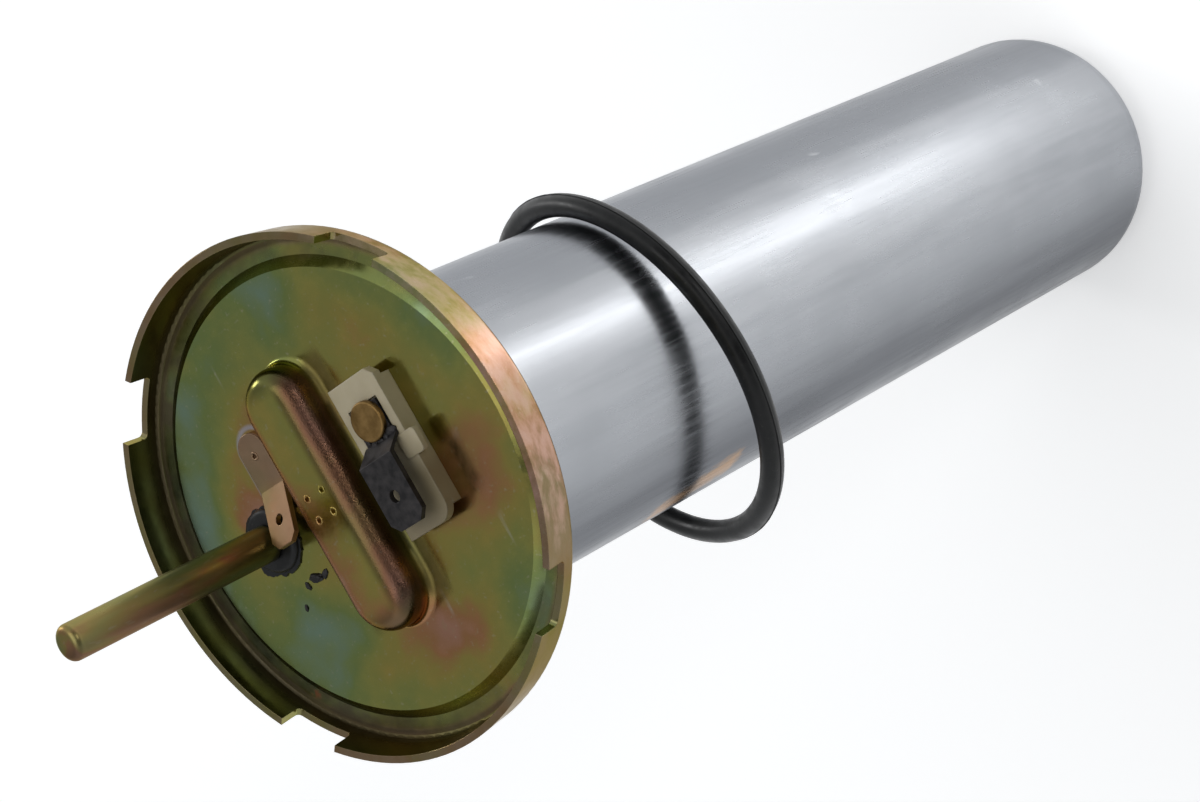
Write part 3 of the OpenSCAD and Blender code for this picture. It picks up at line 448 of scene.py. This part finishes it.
# painted shade on the pipe's +y side
shaded_side = spread(tree, parts(tree, spot)[1], -0.0002, 0.0018, 0.0, 0.60)
tone = blend(tree, shaded_side, tone, (0.085, 0.060, 0.038))
feed(tree, shader, Base_Color=blend(tree, times(tree, worn, 0.3), tone, worn_zinc), Metallic=1.0,
     Specular_Tint=(0.70, 0.64, 0.52), Roughness=plus(tree, coat["Roughness"], 0.12),
     Normal=bumped(tree, plus(tree, coat["Height"], bands), 0.00005, 0.5, soft_edge(tree, 0.0002)))
dress(pipe_zinc, "vent_pipe")


# Earth tab: flat steel terminal, spot welded to the disc before plating, paler and more matt than the disc.
# Its foot is darker than the blade that stands up from it.
tab_zinc, tree, shader = blank_material("chromate_on_tab")
spot = place_of(tree)
coat = use(tree, film, Place=spot, Shift=0.10)
chalky = spread(tree, noise(tree, spot, 300.0, 3.0, 0.6), 0.3, 0.7, 0.50, 0.80)
pale = blend(tree, chalky, coat["Color"], (0.34, 0.225, 0.12))
darker_foot = spread(tree, parts(tree, spot)[1], -0.0072, -0.0052, 0.6, 0.0)
pale = blend(tree, darker_foot, pale, (0.27, 0.19, 0.13))
worn = use(tree, scratches, Place=spot, Density=0.6)["Mask"]
feed(tree, shader, Base_Color=blend(tree, times(tree, worn, 0.6), pale, (0.80, 0.72, 0.60)), Metallic=1.0,
     Roughness=plus(tree, coat["Roughness"], 0.14),
     Normal=bumped(tree, coat["Height"], 0.00004, 0.5, soft_edge(tree, 0.00015)))
dress(tab_zinc, "earth_tab")


# Weld burrs: each of the four spot welds on the rib, and the one on the tab's foot, has thrown up a thin uneven
# collar of steel round its dimple.
def settle(piece, name, material, body):
    """Names a finished piece, moves its placing into the mesh, dresses it and lets it ride on a CAD body."""
    piece.name = name
    piece.data.name = name
    piece.data.transform(piece.matrix_world)
    piece.matrix_world = Matrix.Identity(4)
    piece.data.materials.clear()
    piece.data.materials.append(material)
    bpy.ops.object.select_all(action="DESELECT")
    piece.select_set(True)
    bpy.context.view_layer.objects.active = piece
    bpy.ops.object.shade_smooth_by_angle(angle=math.radians(50))
    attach(piece, body)


def another(model, place, turn, stretch):
    """A copy of a modelled piece with its own mesh, set at that place."""
    copy = model.copy()
    copy.data = model.data.copy()
    bpy.context.scene.collection.objects.link(copy)
    copy.matrix_world = Matrix.Translation(place) @ Matrix.Rotation(turn, 4, "Z") @ Matrix.Diagonal((*stretch, 1))
    return copy


def modify(piece, kind, **settings):
    """Adds a modifier with these settings to the active piece and applies it."""
    made = piece.modifiers.new(kind.lower(), kind)
    for setting, value in settings.items():
        setattr(made, setting, value)
    bpy.ops.object.modifier_apply(modifier=made.name)


def grit(name, scale):
    """Cloudy texture by which a piece is made uneven."""
    made = bpy.data.textures.new(name, "CLOUDS")
    made.noise_scale = scale
    return made


rib_top, weld_half = 0.0070, 0.00155
weld_spots = [(side * weld_half, end * weld_half, rib_top) for side in (-1, 1) for end in (-1, 1)]
tab_weld = (tab_x, -0.01045, 0.0027)
bpy.ops.object.select_all(action="DESELECT")
bpy.ops.mesh.primitive_torus_add(major_radius=0.00048, minor_radius=0.00012, major_segments=48, minor_segments=12)
burr = bpy.context.object
modify(burr, "DISPLACE", texture=grit("weld_grit", 0.00035), strength=0.00020, mid_level=0.5)
for number, place in enumerate((*weld_spots, tab_weld)):
    collar = another(burr, place, 1.3 * number, (1, 1, 0.7))
    settle(collar, f"weld_burr_{number + 1}", tab_zinc if place == tab_weld else zinc, "sender")
bpy.data.objects.remove(burr)


# Sealing ring, pipe seal and the rubber parts inside: black nitrile rubber, moulded, with a dusty satin skin.
# The mottle is shared with the other plain materials.
mottle, given, out = effect(
    "mottle", (("Place", "Vector", None), ("Scale", "Float", 500.0), ("Detail", "Float", 4.0),
               ("Grain", "Float", 0.6), ("Start", "Float", 0.35), ("End", "Float", 0.70),
               ("Dark", "Color", None), ("Light", "Color", None)),
    (("Color", "Color"), ("Mask", "Float")))
spots = noise(mottle, given["Place"], given["Scale"], given["Detail"], given["Grain"])
lighter = put(mottle, "MapRange", {"Value": spots, "From Min": given["Start"], "From Max": given["End"]}).outputs[0]
mottle.links.new(blend(mottle, lighter, given["Dark"], given["Light"]), out["Color"])
mottle.links.new(spots, out["Mask"])

rubber, tree, shader = blank_material("black_rubber")
spot = place_of(tree)
dust = use(tree, mottle, Place=spot, Scale=420.0, Dark=(0.006, 0.006, 0.006), Light=(0.014, 0.014, 0.014))
skin = noise(tree, spot, 3000.0, 2.0, 0.5)
flecks = spread(tree, noise(tree, spot, 2100.0, 2.0, 0.5), 0.68, 0.76)
feed(tree, shader, Base_Color=blend(tree, times(tree, flecks, 0.5), dust["Color"], (0.06, 0.06, 0.055)),
     Roughness=spread(tree, dust["Mask"], 0.3, 0.7, 0.30, 0.48), Specular_IOR_Level=0.32,
     Normal=bumped(tree, plus(tree, skin, times(tree, dust["Mask"], 2.0)), 0.00002, 0.4))
dress(rubber, "sealing_ring", "pipe_seal", "rivet_gasket", "stop_rings")


# Seal's skirt: under the moulded pad the sealing patch spreads out on the disc, with an uneven torn edge.
# It is a flat disc of rubber, pushed out of round and given a small thickness.
bpy.ops.object.select_all(action="DESELECT")
bpy.ops.mesh.primitive_circle_add(vertices=160, radius=0.0048, fill_type="NGON", location=(0.0164, 0.0002, 0.00188))
skirt = bpy.context.object
edge_grit = grit("torn_edge", 0.0014)
for axis in ("X", "Y"):
    modify(skirt, "DISPLACE", texture=edge_grit, direction=axis, strength=0.0014, mid_level=0.5)
bpy.ops.object.mode_set(mode="EDIT")
bpy.ops.mesh.select_all(action="SELECT")
bpy.ops.mesh.extrude_region_move(TRANSFORM_OT_translate={"value": (0, 0, 0.00030)})
bpy.ops.mesh.select_all(action="SELECT")
bpy.ops.mesh.normals_make_consistent(inside=False)
bpy.ops.object.mode_set(mode="OBJECT")
modify(skirt, "BEVEL", width=0.00010, segments=3, limit_method="ANGLE")
settle(skirt, "seal_skirt", rubber, "sender")


# Mould line: the sealing ring comes from a two-part mould, and a thin flash runs round its outer edge.
# It lies askew round the tube with the ring.
ring_turn, ring_tilt, ring_middle = math.radians(16.6), math.radians(22.4), (0, 0.00267, -0.0595)
bpy.ops.object.select_all(action="DESELECT")
bpy.ops.mesh.primitive_torus_add(major_radius=0.02896, minor_radius=0.00010, major_segments=320, minor_segments=8)
flash = bpy.context.object
modify(flash, "DISPLACE", texture=grit("flash_grit", 0.0022), strength=0.00010, mid_level=0.4)
flash.matrix_world = (Matrix.Rotation(ring_turn, 4, "Z") @ Matrix.Translation(ring_middle)
                      @ Matrix.Rotation(ring_tilt, 4, "Y"))
settle(flash, "mould_line", rubber, "seal_ring")


# Immersion tube: deep drawn aluminium, softly polished lengthwise, with faint drawing lines, a painted amber
# reflection beside the ring and a small dent further down. Two of its sides carry painted shade, one a painted
# highlight band.
metal, tree, shader = blank_material("drawn_aluminium")
spot = place_of(tree)
drawn = noise(tree, stretched(tree, spot, (1.0, 1.0, 0.02)), 1500.0, 3.0, 0.6)
bands = noise(tree, stretched(tree, spot, (1.0, 1.0, 0.10)), 210.0, 3.0, 0.55)
cloud = noise(tree, spot, 55.0, 3.0, 0.55)
base = palette(tree, plus(tree, times(tree, cloud, 0.6), times(tree, bands, 0.4)),
               ((0.35, (0.365, 0.378, 0.400)), (0.65, (0.440, 0.454, 0.478))))
x, y, z = parts(tree, spot)
round_tube = vectors(tree, "NORMALIZE", put(tree, "CombineXYZ", {0: x, 1: y}).outputs[0])
uneven = minus(tree, times(tree, bands, 0.3), 0.15)
# painted shade on the sides facing azimuths 86 and 262, and a painted highlight band on the side facing azimuth 190
for azimuth, edge, most, colour in (
    (86, 0.35, 0.90, (0.085, 0.088, 0.097)),
    (262, 0.30, 0.50, (0.17, 0.175, 0.19)),
    (190, 0.88, 0.25, (0.62, 0.63, 0.65)),
):
    side = plus(tree, vectors(tree, "DOT_PRODUCT", round_tube, toward(azimuth, 0)), uneven)
    base = blend(tree, spread(tree, side, edge, 1.0, 0.0, most), base, colour)
worn = use(tree, scratches, Place=spot, Density=0.35)["Mask"]
base = blend(tree, times(tree, worn, 0.4), base, (0.80, 0.81, 0.82))

# painted reflection: an amber streak beside the ring, in the base colour
amber_reflection_from, amber_reflection_to = Vector((-0.0040, 0.0218, -0.0440)), Vector((-0.0074, 0.0209, -0.0590))
amber_reflection_run = amber_reflection_to - amber_reflection_from
from_start = vectors(tree, "SUBTRACT", spot, amber_reflection_from)
share = vectors(tree, "DOT_PRODUCT", from_start, amber_reflection_run / amber_reflection_run.length_squared)
share = maths(tree, "MULTIPLY", share, 1.0, clamp=True)
reached = put(tree, "VectorMath", {0: amber_reflection_run, "Scale": share}, operation="SCALE").outputs[0]
aside = vectors(tree, "DISTANCE", from_start, reached)
torn = noise(tree, stretched(tree, spot, (1.0, 1.0, 0.5)), 520.0, 5.0, 0.65, 0.8)
painted_amber_reflection = spread(tree, plus(tree, aside, times(tree, torn, 0.0060)), 0.0036, 0.0066, 1.0, 0.0)
base = blend(tree, times(tree, painted_amber_reflection, 0.85), base, (0.54, 0.30, 0.12))

dent = near(tree, spot, (-21.7, -4.8, -95), (0.3, 3.2))
waves = noise(tree, stretched(tree, spot, (1.0, 1.0, 0.45)), 95.0, 2.0, 0.5)
ripple = bumped(tree, minus(tree, times(tree, waves, 1.2), times(tree, dent, 0.6)), 0.0003, 0.35)
polish = plus(tree, times(tree, drawn, 0.45), times(tree, cloud, 0.55))
feed(tree, shader, Base_Color=base, Metallic=1.0, Specular_Tint=(0.72, 0.73, 0.75),
     Roughness=spread(tree, polish, 0.35, 0.65, 0.17, 0.30),
     Normal=bumped(tree, plus(tree, drawn, bands), 0.00003, 0.3, ripple))
dress(metal, "immersion_tube")


# Terminal block, bushes and carriers: natural nylon, injection moulded, slightly translucent. A painted shadow of
# the blade darkens the end of the block over which the blade reaches.
nylon, tree, shader = blank_material("natural_nylon")
spot = place_of(tree)
ivory = use(tree, mottle, Place=spot, Scale=260.0, Detail=3.0, Grain=0.5, Start=0.3, End=0.7,
            Dark=(0.40, 0.34, 0.22), Light=(0.47, 0.41, 0.28))["Color"]
# painted shadow of the blade on the block's +y end
painted_blade_shadow = spread(tree, parts(tree, spot)[1], -0.0010, 0.0040, 0.0, 0.75)
feed(tree, shader, Base_Color=blend(tree, painted_blade_shadow, ivory, (0.16, 0.125, 0.065)), Roughness=0.42,
     Subsurface_Weight=0.15, Subsurface_Radius=(0.0010, 0.0008, 0.0005),
     Normal=bumped(tree, noise(tree, spot, 900.0, 3.0, 0.5), 0.00004, 0.2, soft_edge(tree, 0.0003)))
dress(nylon, "terminal_block", "rivet_bush", "upper_carrier", "lower_carrier", "float_bush")


# Signal blade: brass strip, stamped, bent and blackened, held under the rivet's head. The black is rubbed
# through to the brass along hairline scratches.
black, tree, shader = blank_material("blackened_brass")
spot = place_of(tree)
patch = use(tree, mottle, Place=spot, Scale=700.0, Dark=(0.018, 0.017, 0.018), Light=(0.050, 0.045, 0.045))
worn = use(tree, scratches, Place=spot, Density=0.6)["Mask"]
feed(tree, shader, Base_Color=blend(tree, times(tree, worn, 0.4), patch["Color"], (0.22, 0.18, 0.13)), Metallic=0.6,
     Roughness=spread(tree, patch["Mask"], 0.3, 0.7, 0.38, 0.58),
     Normal=bumped(tree, patch["Mask"], 0.00003, 0.4, soft_edge(tree, 0.00012)))
dress(black, "signal_blade")


# Sealing compound: hardened black crumbs lie where the blade leaves the block's pocket, beside the rivet, and
# a few flakes stick to the disc between the pipe's foot and the rib.
bpy.ops.object.select_all(action="DESELECT")
bpy.ops.mesh.primitive_ico_sphere_add(subdivisions=4, radius=0.00055)
crumb = bpy.context.object
modify(crumb, "DISPLACE", texture=grit("crumb_grit", 0.00045), strength=0.00055, mid_level=0.5)
on_disc = 0.00196
crumbs = (                                          # place, size and turn
    ((-0.01515, -0.0031, 0.00492), 1.5, 0.2),
    ((-0.01425, -0.0027, 0.00505), 1.1, 1.4),
    ((-0.01310, -0.0029, 0.00500), 1.3, 2.3),
    ((-0.01185, -0.0028, 0.00505), 1.2, 3.9),
    ((-0.01085, -0.0032, 0.00490), 1.0, 5.1),
    ((0.01090, 0.0074, on_disc), 1.1, 0.7),
    ((0.01270, 0.0072, on_disc), 1.7, 2.9),
    ((0.01480, 0.0076, on_disc), 0.9, 1.9),
    ((0.01720, 0.0099, on_disc), 0.7, 4.4),
)
for number, (place, size, turn) in enumerate(crumbs):
    flake = another(crumb, place, turn, (1.3 * size, 0.7 * size, 0.4 * size))
    settle(flake, f"compound_crumb_{number + 1}", black, "sender")
bpy.data.objects.remove(crumb)


# Rivet, wire pins, straps, springs and contact leaf: brass and bronze, rolled or drawn, slightly tarnished.
# The rivet holds blade and block on the flange; the others carry the current inside the tube.
brass, tree, shader = blank_material("rolled_brass")
spot = place_of(tree)
tarnish = use(tree, mottle, Place=spot, Scale=500.0, Dark=(0.19, 0.11, 0.035), Light=(0.32, 0.20, 0.075))
feed(tree, shader, Base_Color=tarnish["Color"], Metallic=1.0,
     Roughness=spread(tree, tarnish["Mask"], 0.3, 0.7, 0.34, 0.52),
     Normal=bumped(tree, tarnish["Mask"], 0.00003, 0.4, soft_edge(tree, 0.00015)))
dress(brass, "terminal_rivet", "signal_strap", "earth_strap", "wire_pins", "wire_springs", "contact_leaf")


# Guide rod, clips, end washer and nut, leaf pins and resistance wires: bright drawn steel and alloy wire,
# inside the tube. The rod is welded under the rib and screwed to the tube's end.
steel, tree, shader = blank_material("bright_steel")
spot = place_of(tree)
scuff = use(tree, mottle, Place=spot, Scale=600.0, Start=0.3, Dark=(0.42, 0.42, 0.43), Light=(0.58, 0.58, 0.59))
feed(tree, shader, Base_Color=scuff["Color"], Metallic=1.0,
     Roughness=spread(tree, scuff["Mask"], 0.3, 0.7, 0.25, 0.42), Normal=soft_edge(tree, 0.00012))
dress(steel, "guide_rod", "rod_clips", "end_washer", "end_nut", "signal_wire", "earth_wire", "leaf_pins")


# Float: closed-cell foamed rubber, moulded round its bush, with a finely pitted skin. It rides on the guide
# rod inside the tube.
foam, tree, shader = blank_material("float_foam")
spot = place_of(tree)
cells = put(tree, "TexVoronoi", {"Vector": spot, "Scale": 1800.0}).outputs["Distance"]
feed(tree, shader, Base_Color=palette(tree, cells, ((0.1, (0.010, 0.010, 0.012)), (0.6, (0.028, 0.028, 0.030)))),
     Roughness=0.75, Normal=bumped(tree, cells, 0.0001, 0.4))
dress(foam, "float_body")
